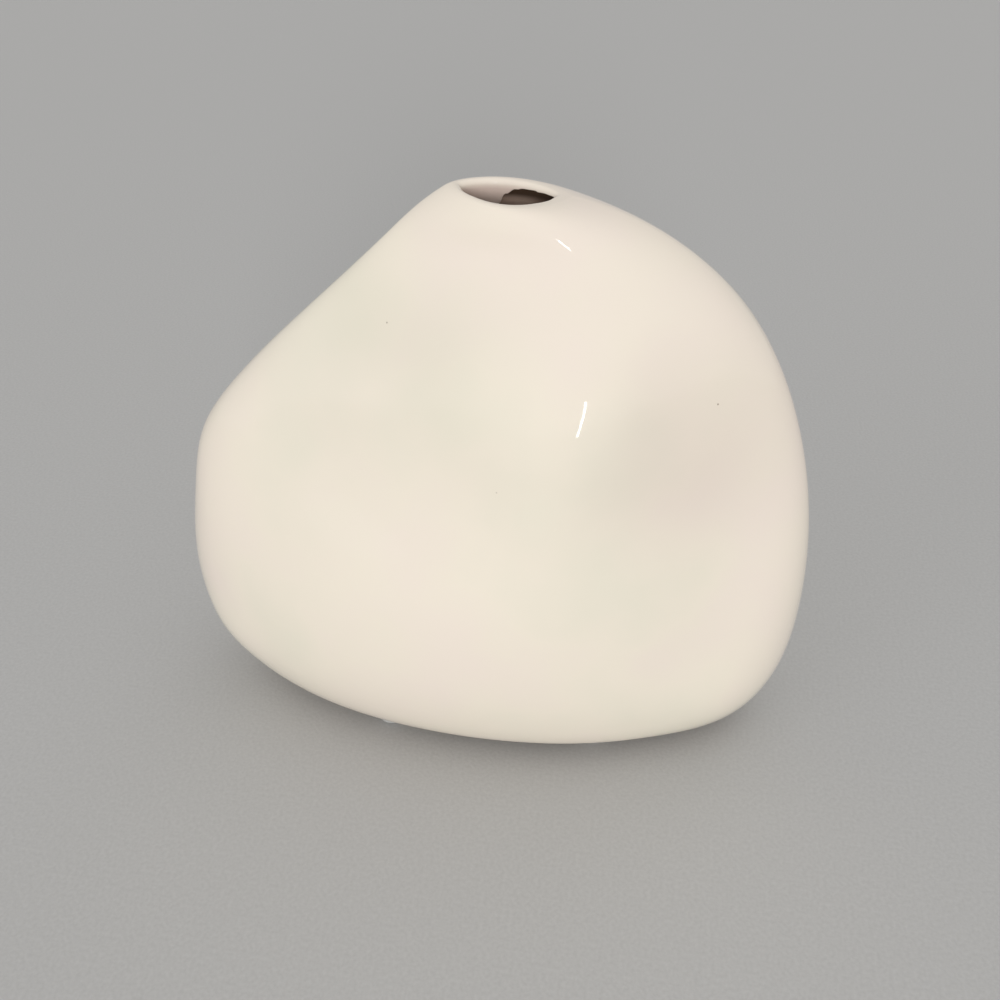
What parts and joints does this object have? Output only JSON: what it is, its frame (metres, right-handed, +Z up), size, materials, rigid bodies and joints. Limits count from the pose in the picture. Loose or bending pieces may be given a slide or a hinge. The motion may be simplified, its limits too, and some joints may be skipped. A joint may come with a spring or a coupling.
{
  "type": "pillow vase",
  "caption": "Free-form ceramic vase shaped like an upright pillow, pressed in at its shoulders, with a small almond-shaped mouth on top and soft stick-on bumpers under its foot.",
  "frame": {"origin": "on the table, under the middle of the vase's width and depth", "axes": "+X along the width, to the viewer's right; +Y from the front to the back; +Z up"},
  "size_m": [0.25, 0.1122, 0.2252],
  "materials": {
    "glaze": "warm white gloss glaze",
    "clay": "bare fired clay, matt",
    "bumper": "clear soft plastic, glossy",
    "adhesive": "clear adhesive film"
  },
  "bodies": {
    "root": {"clay_body": "clay", "glaze_coat": "glaze", "front_left_bumper": "bumper", "front_left_adhesive": "adhesive", "front_right_bumper": "bumper", "front_right_adhesive": "adhesive", "rear_left_bumper": "bumper", "rear_left_adhesive": "adhesive", "rear_right_bumper": "bumper", "rear_right_adhesive": "adhesive"}
  },
  "joints": []
}
